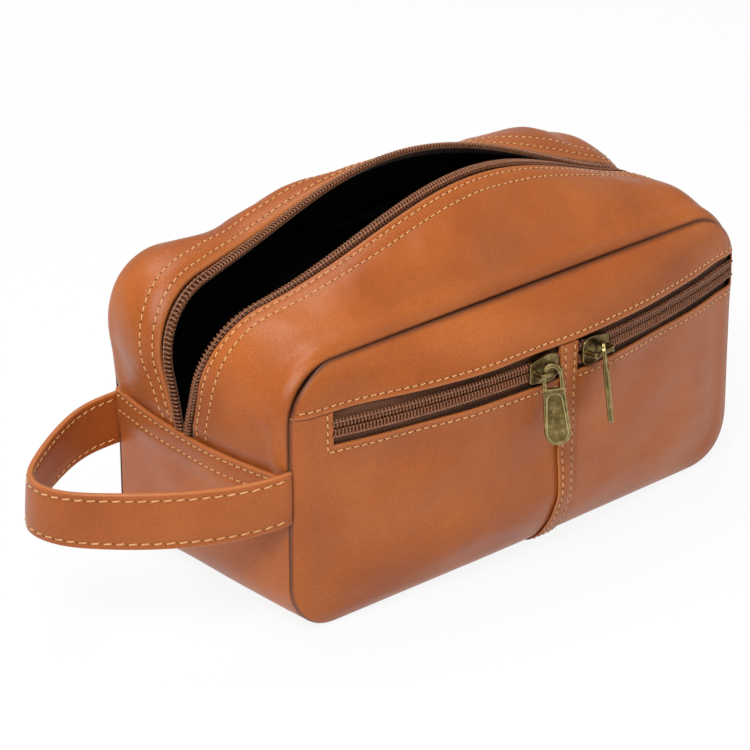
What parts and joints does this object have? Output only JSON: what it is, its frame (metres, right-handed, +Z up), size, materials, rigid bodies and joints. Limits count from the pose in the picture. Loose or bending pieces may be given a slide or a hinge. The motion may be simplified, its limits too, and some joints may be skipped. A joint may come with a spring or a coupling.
{
  "type": "toiletry bag",
  "caption": "Soft leather toiletry bag, open zip mouth along the top, carry loop at one end, zipped front pockets either side of a centre strip.",
  "frame": {"origin": "centre of the flat underside of the base", "axes": "+X along the bag away from the carry loop, -Y out of the front with its two pocket zips, +Z up"},
  "size_m": [0.369, 0.1596, 0.1627],
  "materials": {
    "tan_leather": "smooth waxed hide, soft sheen",
    "lining": "plain woven black cloth",
    "zip_tape": "herringbone woven tape",
    "zip_coil": "moulded nylon coil",
    "antique_brass": "darkened brass, bright worn edges"
  },
  "bodies": {
    "bag": {"front_upper_panel": "tan_leather", "left_pocket_panel": "tan_leather", "right_pocket_panel": "tan_leather", "centre_strip": "tan_leather", "back_panel": "tan_leather", "base_gusset": "tan_leather", "gusset_lining": "lining", "front_seam_binding": "lining", "back_seam_binding": "lining", "front_lining": "lining", "back_lining": "lining", "front_top_panel": "tan_leather", "front_top_lining": "lining", "back_top_panel": "tan_leather", "back_top_lining": "lining", "main_zip_front_tape": "zip_tape", "main_zip_back_tape": "zip_tape", "main_zip_front_coil": "zip_coil", "main_zip_back_coil": "zip_coil", "left_pocket_bag": "lining", "right_pocket_bag": "lining", "left_zip_upper_tape": "zip_tape", "left_zip_lower_tape": "zip_tape", "left_zip_upper_coil": "zip_coil", "left_zip_lower_coil": "zip_coil", "right_zip_upper_tape": "zip_tape", "right_zip_lower_tape": "zip_tape", "right_zip_upper_coil": "zip_coil", "right_zip_lower_coil": "zip_coil"},
    "handle": {"handle_strap": "tan_leather"},
    "main_slider": {"main_zip_slider": "antique_brass"},
    "main_pull": {"main_zip_pull": "antique_brass"},
    "left_slider": {"left_zip_slider": "antique_brass"},
    "left_pull": {"left_zip_pull": "antique_brass"},
    "right_slider": {"right_zip_slider": "antique_brass"},
    "right_pull": {"right_zip_pull": "antique_brass"}
  },
  "joints": [
    {"name": "handle_swing", "type": "hinge", "parent": "bag", "child": "handle", "pos_m": [-0.1441, 0, 0.0625], "axis": [0, 1, 0], "range_deg": [-35, 60]},
    {"name": "main_slider_travel", "type": "slide", "parent": "bag", "child": "main_slider", "axis": [0, 0, 1], "range_m": [0, 0.008], "deforming": ["main_zip_front_tape", "main_zip_back_tape", "main_zip_front_coil", "main_zip_back_coil"]},
    {"name": "main_pull_swing", "type": "hinge", "parent": "main_slider", "child": "main_pull", "pos_m": [0.13435, 0, 0.08087], "axis": [0, -1, 0], "range_deg": [0, 135]},
    {"name": "left_slider_travel", "type": "hinge", "parent": "bag", "child": "left_slider", "pos_m": [0, 0.355, 0.094], "axis": [0, 0, -1], "range_deg": [0, 12], "deforming": ["left_zip_upper_tape", "left_zip_lower_tape", "left_zip_upper_coil", "left_zip_lower_coil"]},
    {"name": "left_pull_swing", "type": "hinge", "parent": "left_slider", "child": "left_pull", "pos_m": [-0.00762, -0.08453, 0.094], "axis": [-0.9998, 0.0173, 0], "range_deg": [0, 165]},
    {"name": "right_slider_travel", "type": "hinge", "parent": "bag", "child": "right_slider", "pos_m": [0, 0.355, 0.094], "axis": [0, 0, 1], "range_deg": [0, 10.8], "deforming": ["right_zip_upper_tape", "right_zip_lower_tape", "right_zip_upper_coil", "right_zip_lower_coil"]},
    {"name": "right_pull_swing", "type": "hinge", "parent": "right_slider", "child": "right_pull", "pos_m": [0.02389, -0.08395, 0.094], "axis": [-0.9985, -0.0543, 0], "range_deg": [0, 165]}
  ]
}
